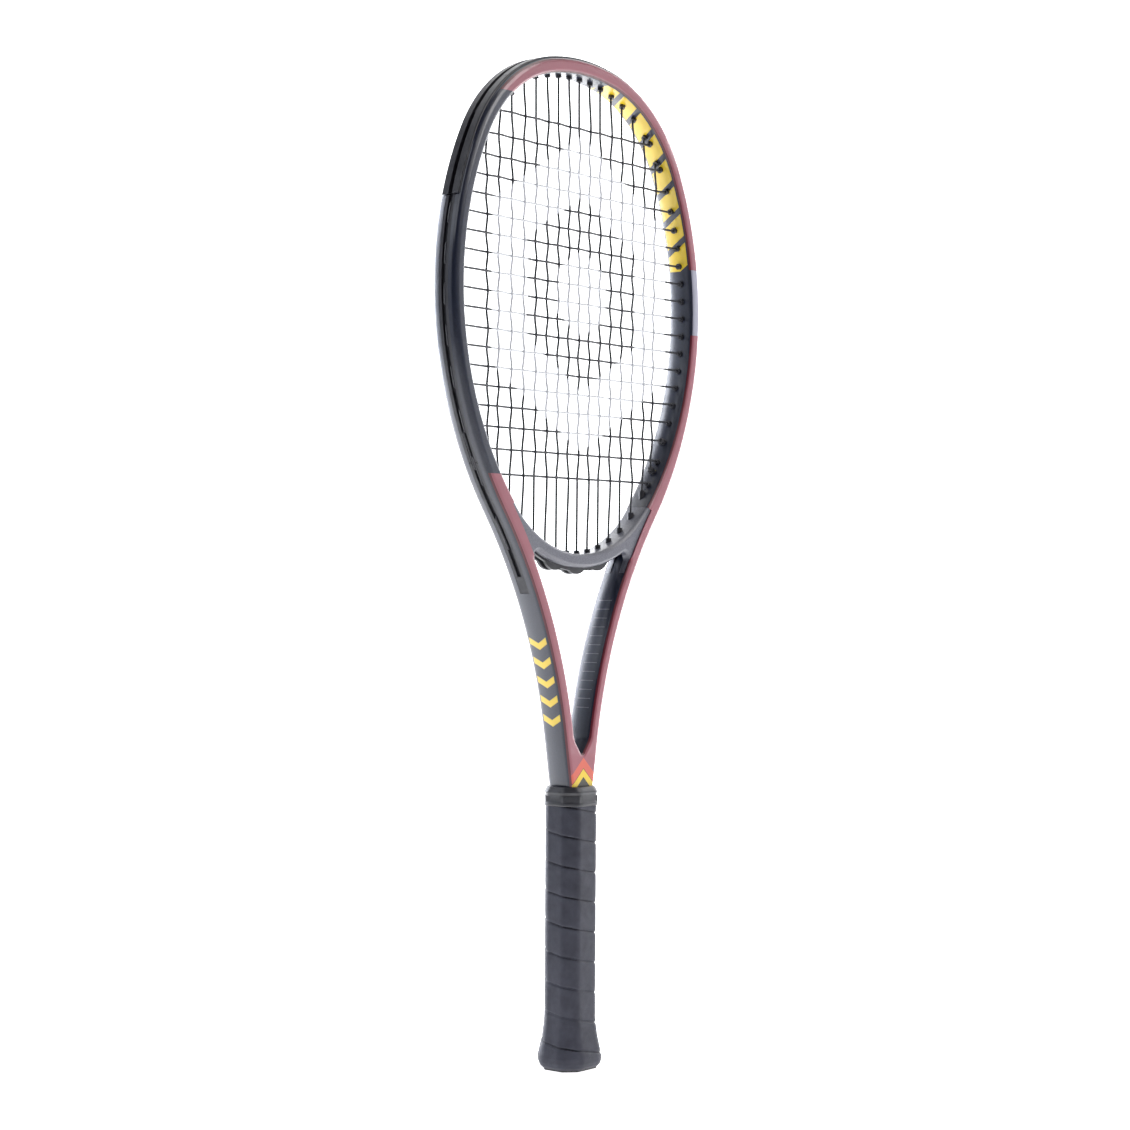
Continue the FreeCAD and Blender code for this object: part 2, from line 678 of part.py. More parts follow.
def staple(grow):
    """One cap staple on the +X side: a crown and two legs."""
    crown = Part.makeBox(0.5 + grow, 9.0 + 2 * grow, 1.2 + 2 * grow, Vec(0, -4.5 - grow, -0.6 - grow))
    legs = [Part.makeBox(2.3 + grow, 0.6 + 2 * grow, 1.2 + 2 * grow,
                         Vec(-2.3 - grow, y - grow, -0.6 - grow)) for y in (-4.5, 3.9)]
    return crown.fuse(legs).removeSplitter()


def staples(grow):
    shapes = []
    for turn in (0, 180):
        one = staple(grow)
        one.translate(Vec(PALLET_W / 2 - 0.5, 0, CAP_TOP_Z - 3.0))
        one.rotate(Vec(0, 0, 0), Vec(0, 0, 1), turn)
        shapes.append(one)
    return Part.makeCompound(shapes)


def tack(grow):
    """The tack that pins the start of the grip to the back of the cap."""
    start = Vec(0, TACK_HEAD_Y, TACK_Z)
    shank = Part.makeCylinder(0.7 + grow, 7.4 + grow, start, -Y_AXIS)
    head = Part.makeCylinder(1.8 + grow, 0.6 + grow, start, -Y_AXIS)
    return shank.fuse(head)


def export(shape, name):
    solids = shape.Solids
    ok = shape.isValid() and all(solid.isClosed() for solid in solids)
    print("%-22s solids %d volume %10.1f valid %s" % (name, len(solids), shape.Volume, ok))
    shape.exportStep(os.path.join("parts", name + ".step"))


def main():
    os.makedirs("parts", exist_ok=True)
    holes, main_route, cross_route = plan_strings()
    hairpin, bridge = frame_pieces(holes)
    export(hairpin, "frame_hairpin")
    export(bridge, "throat_bridge")
    export(head_bumper(holes), "head_bumper")
    for side in ("left", "right"):
        for kind in ("side", "shaft"):
            name = side + "_" + kind + "_strip"
            export(side_strip(holes, name), name)
    export(throat_strip(holes), "throat_strip")
    export(string_solid(main_route), "main_string")
    export(string_solid(cross_route), "cross_string")
    export(handle_pallet().cut(staples(0.02)).cut(tack(0.02)), "handle_pallet")
    export(butt_cap().cut(staples(0.02)).cut(tack(0.02)), "butt_cap")
    export(butt_cap_cover(), "butt_cap_cover")
    export(grip_wrap().cut(staples(0.02)).cut(tack(0.02)), "grip_wrap")
    export(staples(0.0), "butt_cap_staples")
    export(tack(0.0), "grip_tack")
    export(finishing_tape(), "finishing_tape")
    export(grip_collar(), "grip_collar")


main()
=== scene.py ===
"""Tennis racket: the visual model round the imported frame, with its floor, lights and camera."""
import json
import math

import bmesh
import bpy
from mathutils import Matrix, Vector

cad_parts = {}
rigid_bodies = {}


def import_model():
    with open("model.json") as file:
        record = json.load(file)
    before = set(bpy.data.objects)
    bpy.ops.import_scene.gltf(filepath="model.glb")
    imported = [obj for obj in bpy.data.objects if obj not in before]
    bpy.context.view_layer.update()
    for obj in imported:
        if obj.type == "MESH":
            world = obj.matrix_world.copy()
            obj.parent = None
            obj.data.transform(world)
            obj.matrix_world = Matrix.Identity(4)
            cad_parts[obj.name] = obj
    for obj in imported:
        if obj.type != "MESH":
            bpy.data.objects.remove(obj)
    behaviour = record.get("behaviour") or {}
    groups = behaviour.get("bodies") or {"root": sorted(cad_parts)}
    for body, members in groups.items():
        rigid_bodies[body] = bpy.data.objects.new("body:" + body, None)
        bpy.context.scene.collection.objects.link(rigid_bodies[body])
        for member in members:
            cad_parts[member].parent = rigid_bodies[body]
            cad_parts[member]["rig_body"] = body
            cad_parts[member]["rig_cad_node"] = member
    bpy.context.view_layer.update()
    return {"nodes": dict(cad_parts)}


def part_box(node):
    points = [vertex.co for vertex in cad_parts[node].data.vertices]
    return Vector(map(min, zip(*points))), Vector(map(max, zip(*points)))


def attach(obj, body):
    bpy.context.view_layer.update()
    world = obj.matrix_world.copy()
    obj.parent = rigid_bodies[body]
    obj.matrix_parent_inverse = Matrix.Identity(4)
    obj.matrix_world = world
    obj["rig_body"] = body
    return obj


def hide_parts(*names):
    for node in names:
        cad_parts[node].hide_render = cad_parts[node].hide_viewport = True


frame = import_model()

MM = 0.001
UP = Vector((0, 0, 1))

# ---- sizes the pieces share with the frame, in millimetres -------------------------------------
HOOP_TOP = 674.5
INNER_ARCS = [(158.0, 12.0), (97.0, 63.0), (216.0, 130.6)]
OUTER_ARCS = [(168.0, 12.0), (107.0, 63.0), (226.0, 102.8), (258.6, 126.6), (-349.8, 99.7)]
STRING_RADIUS = 0.76
MAIN_Y, CROSS_Y = 0.8, -0.8
MAINS, CROSSES = 16, 19
MAIN_GAP, MAIN_GROWTH = 11.0, 0.33
CROSS_TOP_Z, CROSS_BOTTOM_Z = 640.0, 400.5
BEND_AHEAD = 2.6
LOOP_INSET = 0.55
LAST_MAIN_LOW_Z = 409.7
MAIN_TIE_CROSS, CROSS_TIE_MAIN = 16, 5
THROAT_REACH = 54.0
BRIDGE_THICK = 9.2
GRIP_W, GRIP_D = 34.4, 30.2
GRIP_TOP_Z, GRIP_BOTTOM_Z = 185.2, 1.2
BEVEL_SHARE = 0.255
FLARE = [(36.0, 0.0), (30.0, 0.9), (22.0, 3.1), (14.0, 6.6), (9.0, 8.8), (5.6, 8.4), (3.2, 6.6),
         (1.2, 3.4)]
COLLAR_LOW, COLLAR_HIGH = 178.4, 191.5


# ---- outlines ----------------------------------------------------------------------------------
def normal_at(heading):
    angle = math.radians(heading)
    return Vector((math.sin(angle), 0, math.cos(angle)))


def walk(top_z, arcs):
    """Chain tangent arcs from (0, top_z), clockwise: (centre, radius, start, end)."""
    place, heading, chain = Vector((0, 0, top_z)), 0.0, []
    for radius, end in arcs:
        centre = place - normal_at(heading) * radius
        chain.append((centre, radius, heading, end))
        place = centre + normal_at(end) * radius
        heading = end
    return chain


def on_arc(link, heading, offset=0.0):
    return link[0] + normal_at(heading) * (link[1] + offset)


def inner_chain():
    chain = walk(HOOP_TOP, INNER_ARCS)
    end = on_arc(chain[-1], chain[-1][3])
    closing = end.x / math.sin(math.radians(chain[-1][3]))
    return walk(HOOP_TOP, INNER_ARCS + [(closing, 180.0)])


INNER = inner_chain()
OUTER = walk(HOOP_TOP + 10.0, OUTER_ARCS)


def rim(value, axis, lower):
    """The bend line just inside the hoop where it meets x=value or z=value."""
    for link in INNER:
        radius = link[1] - BEND_AHEAD
        shift = (value - (link[0].x if axis == "x" else link[0].z)) / radius
        if abs(shift) > 1:
            continue
        if axis == "x":
            first = math.degrees(math.asin(shift))
            heading = 180.0 - first if lower else first
        else:
            heading = math.degrees(math.acos(shift))
        if link[2] <= heading <= link[3]:
            return on_arc(link, heading, -BEND_AHEAD), normal_at(heading)
    raise ValueError("no rim at %s=%s" % (axis, value))


def depth_to_outer(start, direction, inset):
    """Distance along direction to the outer wall moved in by inset: the first arc that is met."""
    best = None
    for centre, radius, first, last in OUTER:
        size = abs(radius - inset)
        to_centre = start - centre
        b = to_centre.dot(direction)
        c = to_centre.length_squared - size * size
        if b * b < c:
            continue
        for reach in (-b - math.sqrt(b * b - c), -b + math.sqrt(b * b - c)):
            if reach <= 0:
                continue
            away = (start + direction * reach - centre) * (1 if radius > 0 else -1)
            heading = math.degrees(math.atan2(away.x, away.z)) % 360
            if first - 0.01 <= heading <= last + 0.01 or last - 0.01 <= heading <= first + 0.01:
                best = reach if best is None else min(best, reach)
    return best


def main_places():
    places = [MAIN_GAP / 2]
    for step in range(1, MAINS // 2):
        places.append(places[-1] + MAIN_GAP + MAIN_GROWTH * step)
    return places


def cross_places():
    count = CROSSES - 1
    shape = [1 + abs(2 * (i + 0.5) / count - 1.0) ** 5 * 0.42 for i in range(count)]
    scale = (CROSS_TOP_Z - CROSS_BOTTOM_Z) / sum(shape)
    places = [CROSS_TOP_Z]
    for value in shape:
        places.append(places[-1] - value * scale)
    return places


# ---- mesh helpers ------------------------------------------------------------------------------
def mesh_piece(name, points, faces):
    """A smoothly shaded mesh object from points in millimetres."""
    mesh = bpy.data.meshes.new(name)
    mesh.from_pydata([tuple(p * MM for p in point) for point in points], [], faces)
    mesh.validate()
    for face in mesh.polygons:
        face.use_smooth = True
    piece = bpy.data.objects.new(name, mesh)
    bpy.context.scene.collection.objects.link(piece)
    return piece


def tube(path, radius, sides):
    """Points and faces of a closed-ended round tube along a path, with frames carried along it."""
    points, faces = [], []
    tangent = (path[1] - path[0]).normalized()
    side = tangent.orthogonal().normalized()
    for index, place in enumerate(path):
        before, after = path[max(index - 1, 0)], path[min(index + 1, len(path) - 1)]
        tangent = (after - before).normalized()
        side = (side - tangent * side.dot(tangent)).normalized()
        other = tangent.cross(side)
        for step in range(sides):
            angle = 2 * math.pi * step / sides
            points.append(place + (side * math.cos(angle) + other * math.sin(angle)) * radius)
    for ring in range(len(path) - 1):
        for step in range(sides):
            a, b = ring * sides + step, ring * sides + (step + 1) % sides
            faces.append((a, b, b + sides, a + sides))
    faces.append(tuple(reversed(range(sides))))
    last = (len(path) - 1) * sides
    faces.append(tuple(range(last, last + sides)))
    return points, faces


def rounded(points, radius, count=5):
    """A polyline whose corners are replaced by short arcs."""
    path = [points[0]]
    for before, corner, after in zip(points, points[1:], points[2:]):
        one, two = (before - corner), (after - corner)
        reach = min(radius, one.length * 0.45, two.length * 0.45)
        start, end = corner + one.normalized() * reach, corner + two.normalized() * reach
        for step in range(count + 1):
            t = step / count
            path.append(start * (1 - t) ** 2 + corner * 2 * t * (1 - t) + end * t * t)
    path.append(points[-1])
    return path


SHARP_ANGLE = 38.0
WELD_DISTANCE = 2e-6


def settled_copy(node, name, reshape=None):
    """A copy of a CAD node with joined facets and area-weighted normals, for clean reflections."""
    source = frame["nodes"][node]
    piece = source.copy()
    piece.data = source.data.copy()
    piece.name = piece.data.name = name
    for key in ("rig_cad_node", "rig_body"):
        if key in piece:
            del piece[key]
    piece.parent = None
    bpy.context.scene.collection.objects.link(piece)
    form = bmesh.new()
    form.from_mesh(piece.data)
    bmesh.ops.remove_doubles(form, verts=form.verts, dist=WELD_DISTANCE)
    if reshape:
        for point in form.verts:
            point.co = reshape(point.co)
    form.to_mesh(piece.data)
    form.free()
    if piece.data.has_custom_normals:
        piece.data.attributes.remove(piece.data.attributes["custom_normal"])
    for face in piece.data.polygons:
        face.use_smooth = True
    piece.data.set_sharp_from_angle(angle=math.radians(SHARP_ANGLE))
    weight = piece.modifiers.new("weighted", "WEIGHTED_NORMAL")
    weight.keep_sharp = True
    weight.weight = 100
    bpy.context.view_layer.update()
    graph = bpy.context.evaluated_depsgraph_get()
    mesh = bpy.data.meshes.new_from_object(piece.evaluated_get(graph))
    piece.modifiers.clear()
    piece.data = mesh
    mesh.name = name
    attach(piece, "racket")
    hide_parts(node)
    return piece


MEET_START_Z = 372.0
MEET_REACH = 24.0
MEET_SWELL = 1.0
BRIDGE_HALF_DEPTH = 9.65


def meet_rim(place):
    """Bring the bridge's set-back faces out to the rim's where its ends run up beside it."""
    t = min(max((place.z / MM - MEET_START_Z) / MEET_REACH, 0.0), 1.0)
    swell = 1 + MEET_SWELL / BRIDGE_HALF_DEPTH * t * t * (3 - 2 * t)
    return Vector((place.x, place.y * swell, place.z))


def paint(piece, material):
    piece.data.materials.clear()
    piece.data.materials.append(material)


# ---- shader helpers ----------------------------------------------------------------------------
NOISE_ROUGHNESS = 0.55


class Shader:
    """A material being wired: small helpers that return output sockets."""

    def __init__(self, name):
        self.material = bpy.data.materials.new(name)
        self.material.use_nodes = True
        self.tree = self.material.node_tree
        self.tree.nodes.clear()
        self.body = self.tree.nodes.new("ShaderNodeBsdfPrincipled")
        out = self.tree.nodes.new("ShaderNodeOutputMaterial")
        self.tree.links.new(self.body.outputs["BSDF"], out.inputs["Surface"])
        place = self.tree.nodes.new("ShaderNodeTexCoord")
        scale = self.node("ShaderNodeVectorMath", operation="SCALE")
        scale.inputs["Scale"].default_value = 1000.0
        self.tree.links.new(place.outputs["Object"], scale.inputs[0])
        self.place = scale.outputs[0]
        split = self.tree.nodes.new("ShaderNodeSeparateXYZ")
        self.tree.links.new(self.place, split.inputs[0])
        self.x, self.y, self.z = split.outputs

    def node(self, kind, **settings):
        node = self.tree.nodes.new(kind)
        for key, value in settings.items():
            setattr(node, key, value)
        return node

    def feed(self, socket, value):
        if isinstance(value, bpy.types.NodeSocket):
            self.tree.links.new(value, socket)
        else:
            socket.default_value = value

    def math(self, operation, *values):
        node = self.node("ShaderNodeMath", operation=operation)
        for socket, value in zip(node.inputs, values):
            self.feed(socket, value)
        return node.outputs[0]

    def add(self, a, b):
        return self.math("ADD", a, b)

    def times(self, a, b):
        return self.math("MULTIPLY", a, b)

    def size(self, a):
        return self.math("ABSOLUTE", a)

    def step(self, value, edge, soft=0.12, rising=True):
        """0 to 1 as value passes edge, over a soft width."""
        node = self.node("ShaderNodeMapRange", interpolation_type="SMOOTHSTEP")
        self.feed(node.inputs["Value"], value)
        node.inputs["From Min"].default_value = edge - soft
        node.inputs["From Max"].default_value = edge + soft
        node.inputs["To Min"].default_value = 0.0 if rising else 1.0
        node.inputs["To Max"].default_value = 1.0 if rising else 0.0
        return node.outputs["Result"]

    def band(self, value, low, high, soft=0.12):
        return self.times(self.step(value, low, soft), self.step(value, high, soft, rising=False))

    def either(self, *values):
        total = values[0]
        for value in values[1:]:
            total = self.math("MAXIMUM", total, value)
        return total

    def both(self, *values):
        total = values[0]
        for value in values[1:]:
            total = self.times(total, value)
        return total

    def noise(self, scale, detail=3.0):
        node = self.node("ShaderNodeTexNoise")
        self.tree.links.new(self.place, node.inputs["Vector"])
        node.inputs["Scale"].default_value = scale
        node.inputs["Detail"].default_value = detail
        node.inputs["Roughness"].default_value = NOISE_ROUGHNESS
        return node.outputs["Fac"]

    def cells(self, scale):
        node = self.node("ShaderNodeTexVoronoi", feature="F1")
        self.tree.links.new(self.place, node.inputs["Vector"])
        node.inputs["Scale"].default_value = scale
        return node.outputs["Distance"]

    def range(self, value, low, high, new_low, new_high):
        node = self.node("ShaderNodeMapRange")
        self.feed(node.inputs["Value"], value)
        keys = ("From Min", "From Max", "To Min", "To Max")
        for key, number in zip(keys, (low, high, new_low, new_high)):
            node.inputs[key].default_value = number
        return node.outputs["Result"]

    def blend(self, share, one, two):
        node = self.node("ShaderNodeMix", data_type="RGBA")
        self.feed(node.inputs["Factor"], share)
        for socket, value in zip((node.inputs[6], node.inputs[7]), (one, two)):
            if isinstance(value, bpy.types.NodeSocket):
                self.tree.links.new(value, socket)
            else:
                socket.default_value = (*value, 1.0)
        return node.outputs[2]

    def bump(self, height, strength, distance, normal=None):
        node = self.node("ShaderNodeBump")
        node.inputs["Strength"].default_value = strength
        node.inputs["Distance"].default_value = distance
        self.tree.links.new(height, node.inputs["Height"])
        if normal:
            self.tree.links.new(normal, node.inputs["Normal"])
        return node.outputs["Normal"]

    def set(self, **values):
        for key, value in values.items():
            socket = self.body.inputs[key.replace("_", " ")]
            if isinstance(value, tuple):
                value = (*value, 1.0)
            self.feed(socket, value)
        return self.material


# ---- materials ---------------------------------------------------------------------------------
BLACK = (0.006, 0.009, 0.022)
CHARCOAL = (0.013, 0.017, 0.037)
CORAL = (0.275, 0.078, 0.102)
# CRIMSON paints the chevron join and also the painted shade along the stripe's rounded edges
CRIMSON = (0.10, 0.006, 0.014)
ORANGE = (0.56, 0.092, 0.050)
YELLOW = (0.72, 0.50, 0.014)
OLIVE = (0.022, 0.023, 0.008)
LAVENDER = (0.30, 0.30, 0.37)
WORN_CORAL = (0.24, 0.062, 0.082)
PRINT = (0.30, 0.30, 0.33)
BRIDGE_DARK, BRIDGE_PALE = (0.080, 0.082, 0.104), (0.120, 0.122, 0.148)
STRING_DARK, STRING_PALE = (0.022, 0.022, 0.027), (0.036, 0.036, 0.042)
INK = (0.62, 0.63, 0.65)
GRIP_DARK, GRIP_PALE = (0.028, 0.029, 0.041), (0.043, 0.044, 0.060)
PAINTED_SEAM_SHADE = (0.003, 0.003, 0.005)
STEEL = (0.62, 0.62, 0.64)
FOAM_DARK, FOAM_PALE = (0.48, 0.42, 0.28), (0.58, 0.52, 0.36)
FLOOR_DARK, FLOOR_PALE = (0.90, 0.90, 0.90), (0.93, 0.93, 0.93)

# where the paint changes, in millimetres
STRIPE_Y = 10.0
STRIPE_EDGE = 1.2
TOP_LEFT_Z, LOW_LEFT_Z = 651.0, 400.0
GAP_LOW_Z, GAP_HIGH_Z = 508.0, 555.0
HEAD_CENTRE_Z = 560.0
BAR_DEGREES = 10.1
MARK_LOW_Z, MARK_HIGH_Z, MARK_PITCH = 231.0, 296.0, 13.0
TICK_LOW_Z, TICK_HIGH_Z, TICK_PITCH = 240.0, 318.0, 6.1
THROAT_TOP_Z, THROAT_HALF = 213.0, 14.0
OLIVE_TOP, YELLOW_TOP, ORANGE_LOW, ORANGE_TOP = 197.9, 203.4, 203.9, 211.0
STENCIL_X, STENCIL_Z = 8.0, 527.0
STENCIL_CORE, STENCIL_RING = 26.0, (58.0, 94.0)
CROWN = 0.024


def shoulder_bars(s, nx, nz, depth):
    """Slanting blocks that follow the inner wall of the shoulder round."""
    up = s.add(s.z, -HEAD_CENTRE_Z)
    angle = s.times(s.math("ARCTAN2", up, s.size(s.x)), 180.0 / math.pi)
    facing = s.add(s.times(s.times(nx, s.x), -1.0), s.times(s.times(nz, up), -1.0))
    inner = s.step(facing, 20.0, 10.0)
    lean = s.add(angle, s.times(s.y, 0.30))
    beat = s.math("FRACT", s.times(s.add(lean, 4.0), 1 / BAR_DEGREES))
    return s.both(s.band(beat, 0.10, 0.86, 0.012), s.step(depth, 8.0, 0.1, rising=False),
                  s.band(angle, -2.6, 77.0, 0.2), inner, s.step(s.x, 0.0))


def shaft_marks(s, nx):
    """Small chevrons on the outer side of the shaft."""
    outward = s.step(s.times(nx, s.math("SIGN", s.x)), 0.55, 0.05)
    tip = s.add(s.z, s.times(s.size(s.y), -0.55))
    count = s.math("FRACT", s.times(s.add(tip, -MARK_LOW_Z), 1 / MARK_PITCH))
    return s.both(s.band(count, 0.10, 0.44, 0.02), s.band(s.y, -7.2, 7.2, 0.08),
                  s.band(tip, MARK_LOW_Z, MARK_HIGH_Z, 0.1), outward)


def shaft_ticks(s, nx):
    """Thin tick marks on the inner side of the other shaft."""
    inside = s.step(s.times(nx, s.math("SIGN", s.x)), -0.6, 0.05, rising=False)
    line = s.math("FRACT", s.times(s.z, 1 / TICK_PITCH))
    return s.both(s.band(line, 0.0, 0.10, 0.02), s.band(s.y, -5.5, 5.5, 0.1),
                  s.band(s.z, TICK_LOW_Z, TICK_HIGH_Z, 0.2), inside)


def frame_paint():
    """Charcoal lacquer with a coral stripe on both faces, chevrons, bars and tick marks."""
    s = Shader("frame_paint")
    depth = s.size(s.y)
    side = s.times(s.x, s.math("SIGN", s.times(s.y, -1.0)))
    right, left = s.step(side, 0.0), s.step(side, 0.0, rising=False)
    top_left = s.times(left, s.step(s.z, TOP_LEFT_Z, 0.4))
    low_left = s.times(left, s.step(s.z, LOW_LEFT_Z, 0.4, rising=False))
    top_right = s.times(right, s.step(s.z, GAP_HIGH_Z, 0.4))
    low_right = s.times(right, s.step(s.z, GAP_LOW_Z, 0.4, rising=False))
    length = s.either(top_left, low_left, top_right, low_right)
    face = s.step(depth, STRIPE_Y, 0.05)
    stripe = s.times(face, length)
    gap = s.both(face, right, s.band(s.z, GAP_LOW_Z, GAP_HIGH_Z, 0.4))
    # painted shade: a dark crimson band, STRIPE_EDGE wide, where the coral stripe rolls over the
    # rounded edges
    painted_edge_shade = s.both(s.band(depth, STRIPE_Y - STRIPE_EDGE, STRIPE_Y, 0.05), length)

    normal = s.node("ShaderNodeNewGeometry")
    split = s.node("ShaderNodeSeparateXYZ")
    s.tree.links.new(normal.outputs["Normal"], split.inputs[0])
    nx, nz = split.outputs[0], split.outputs[2]

    bars = shoulder_bars(s, nx, nz, depth)
    marks = shaft_marks(s, nx)
    ticks = shaft_ticks(s, nx)

    # chevrons where the shafts meet
    roof = s.add(s.z, s.times(s.size(s.x), 0.94))
    middle = s.both(face, s.step(s.z, THROAT_TOP_Z, 0.3, rising=False),
                    s.step(s.size(s.x), THROAT_HALF, 0.3, rising=False))
    orange = s.both(middle, s.band(roof, ORANGE_LOW, ORANGE_TOP, 0.12))
    yellow = s.both(middle, s.band(roof, OLIVE_TOP, YELLOW_TOP, 0.12))
    dark = s.both(middle, s.step(roof, OLIVE_TOP, 0.12, rising=False))
    join = s.both(middle, s.band(roof, YELLOW_TOP, ORANGE_LOW, 0.1))

    flake = s.noise(2.2, 2.0)
    base = s.blend(s.range(flake, 0.35, 0.65, 0.0, 1.0), BLACK, CHARCOAL)
    # painted shade in crimson along the stripe's rounded edges
    base = s.blend(painted_edge_shade, base, CRIMSON)
    base = s.blend(gap, base, LAVENDER)
    worn = s.noise(0.05, 4.0)
    coral = s.blend(s.range(worn, 0.3, 0.7, 0.0, 0.35), CORAL, WORN_CORAL)
    base = s.blend(stripe, base, coral)
    base = s.blend(bars, base, YELLOW)
    base = s.blend(marks, base, YELLOW)
    base = s.blend(s.times(ticks, 0.35), base, PRINT)
    base = s.blend(orange, base, ORANGE)
    base = s.blend(yellow, base, YELLOW)
    base = s.blend(dark, base, OLIVE)
    base = s.blend(join, base, CRIMSON)
    rough = s.range(s.noise(0.03, 3.0), 0.3, 0.7, 0.30, 0.40)
    coat = s.range(middle, 0.0, 1.0, 0.7, 0.15)
    return s.set(Base_Color=base, Roughness=rough, Coat_Weight=coat, Coat_Roughness=0.12,
                 Coat_IOR=1.5, Normal=lacquer(s))


def lacquer(s):
    """Crowned walls under a lacquer with a faint ripple."""
    crown = s.bump(s.times(s.times(s.y, s.y), -CROWN), 1.0, MM)
    return s.bump(s.noise(0.45, 2.0), 0.06, 0.0004, crown)


def bridge_paint():
    s = Shader("bridge_paint")
    base = s.blend(s.range(s.noise(1.6, 2.0), 0.35, 0.65, 0.0, 1.0), BRIDGE_DARK, BRIDGE_PALE)
    rough = s.range(s.noise(0.04), 0.3, 0.7, 0.30, 0.42)
    return s.set(Base_Color=base, Roughness=rough, Coat_Weight=0.5, Coat_Roughness=0.16,
                 Normal=lacquer(s))


def moulded(name, low, high, rough, grain=0.08):
    """Moulded nylon or rubber: fine grain, slight mottling and worn patches."""
    s = Shader(name)
    base = s.blend(s.range(s.noise(0.12, 4.0), 0.3, 0.7, 0.0, 1.0), low, high)
    height = s.add(s.noise(3.0, 3.0), s.times(s.noise(0.5, 2.0), 0.6))
    worn = s.range(s.noise(0.2), 0.3, 0.7, rough - 0.06, rough + 0.08)
    return s.set(Base_Color=base, Roughness=worn, Normal=s.bump(height, grain, 0.0003),
                 Specular_IOR_Level=0.45)


def string_material():
    """Dark monofilament with a faint rib, and a white stencil of rings of hexagons."""
    s = Shader("string_bed")
    x, z = s.add(s.x, -STENCIL_X), s.add(s.z, -STENCIL_Z)
    one = s.size(x)
    two = s.add(s.times(s.size(x), 0.5), s.times(s.size(z), 0.866))
    hexagon = s.math("MAXIMUM", one, two)
    ragged = s.add(hexagon, s.times(s.add(s.noise(0.6, 3.0), -0.5), 3.0))
    ring = s.band(ragged, *STENCIL_RING, 0.8)
    core = s.step(ragged, STENCIL_CORE, 0.8, rising=False)
    ink = s.times(s.either(ring, core), s.range(s.noise(1.4, 2.0), 0.25, 0.45, 0.55, 1.0))
    base = s.blend(s.range(s.noise(0.3), 0.3, 0.7, 0.0, 1.0), STRING_DARK, STRING_PALE)
    base = s.blend(ink, base, INK)
    rough = s.range(ink, 0.0, 1.0, 0.48, 0.65)
    return s.set(Base_Color=base, Roughness=rough, Normal=s.bump(s.noise(2.4, 2.0), 0.12, 0.0002))


def grip_material():
    """Synthetic leather: fine pebble grain, faint long creases, a slight sheen and painted shade
    along the seam.
    """
    s = Shader("grip_skin")
    base = s.blend(s.range(s.noise(0.10, 5.0), 0.3, 0.7, 0.0, 1.0), GRIP_DARK, GRIP_PALE)
    # painted shade: the seam attribute darkens the wrap's seam groove nearly to black and lowers
    # its specular there
    seam = s.node("ShaderNodeAttribute", attribute_name="seam").outputs["Fac"]
    base = s.blend(s.times(seam, 0.85), base, PAINTED_SEAM_SHADE)
    pebble = s.times(s.cells(1.7), 0.7)
    height = s.add(pebble, s.times(s.noise(1.1, 4.0), 0.8))
    rough = s.range(s.noise(0.25, 3.0), 0.3, 0.7, 0.50, 0.64)
    shine = s.range(seam, 0.0, 1.0, 0.22, 0.08)
    return s.set(Base_Color=base, Roughness=rough, Normal=s.bump(height, 0.22, 0.0004),
                 Sheen_Weight=0.08, Specular_IOR_Level=shine)


def steel():
    s = Shader("steel_wire")
    rough = s.range(s.noise(1.2), 0.3, 0.7, 0.2, 0.35)
    return s.set(Base_Color=STEEL, Metallic=1.0, Roughness=rough,
                 Normal=s.bump(s.noise(2.0), 0.05, 0.0002))


def foam():
    s = Shader("pallet_foam")
    base = s.blend(s.range(s.noise(0.3, 4.0), 0.3, 0.7, 0.0, 1.0), FOAM_DARK, FOAM_PALE)
    return s.set(Base_Color=base, Roughness=0.8, Normal=s.bump(s.cells(1.2), 0.3, 0.0004))


# ---- strings -----------------------------------------------------------------------------------
WEAVE = 0.66
WEAVE_STEP = 1.9
KNOT_TURNS = 2.1
KNOT_STEPS = 32
TURN_RADIUS = 1.2
RUN_INSET = 1.6
CLEAR_OF_RIM = 2


def hole(value, axis, lower, y, straight=False):
    """The bend inside the hoop and the mouth in the outer channel, on the +X side."""
    bend, direction = rim(value, axis, lower)
    if straight:
        direction = -UP
    if straight and value < THROAT_REACH:
        centre, radius = INNER[-1][0], INNER[-1][1] + BRIDGE_THICK + 1.0
        depth = bend.z - (centre.z - math.sqrt(radius ** 2 - value ** 2))
    else:
        depth = depth_to_outer(bend, direction, LOOP_INSET)
    mouth = bend + direction * depth
    bend.y = mouth.y = y
    return bend, mouth


def flip(pair):
    return tuple(Vector((-p.x, p.y, p.z)) for p in pair)


def woven(start, end, stops, phase):
    """A run from start to end that passes over and under at the stops along its length."""
    along = (end - start).normalized()
    length = (end - start).length
    marks = sorted((stop - start).dot(along) for stop in stops)
    keys = [(0.0, start.y)]
    for index, mark in enumerate(marks):
        keys.append((mark, WEAVE * (1 if (index + phase) % 2 == 0 else -1)))
    keys.append((length, end.y))
    path = []
    for (a, low), (b, high) in zip(keys, keys[1:]):
        steps = max(3, int((b - a) / WEAVE_STEP))
        for step in range(steps):
            t = step / steps
            ease = (1 - math.cos(math.pi * t)) / 2
            place = start + along * (a + (b - a) * t)
            path.append(Vector((place.x, low + (high - low) * ease, place.z)))
    path.append(end.copy())
    return path


def knot(end, anchor, inward):
    """A tie-off: two turns round the string that shares the hole, and a short tail."""
    out = Vector((0, 1 if end.y > anchor.y else -1, 0))
    side = inward.cross(out)
    path = [end + (anchor - end) * 0.1 + inward * 0.3]
    for step in range(1, KNOT_STEPS + 1):
        t = step / KNOT_STEPS
        angle = 2 * math.pi * KNOT_TURNS * t
        lift = out * math.cos(angle) + side * math.sin(angle)
        path.append(anchor + inward * (0.2 + 1.9 * t) + lift * 1.3)
    tail = (path[-1] - path[-2]).normalized()
    path.append(path[-1] + tail * 0.4)
    return path


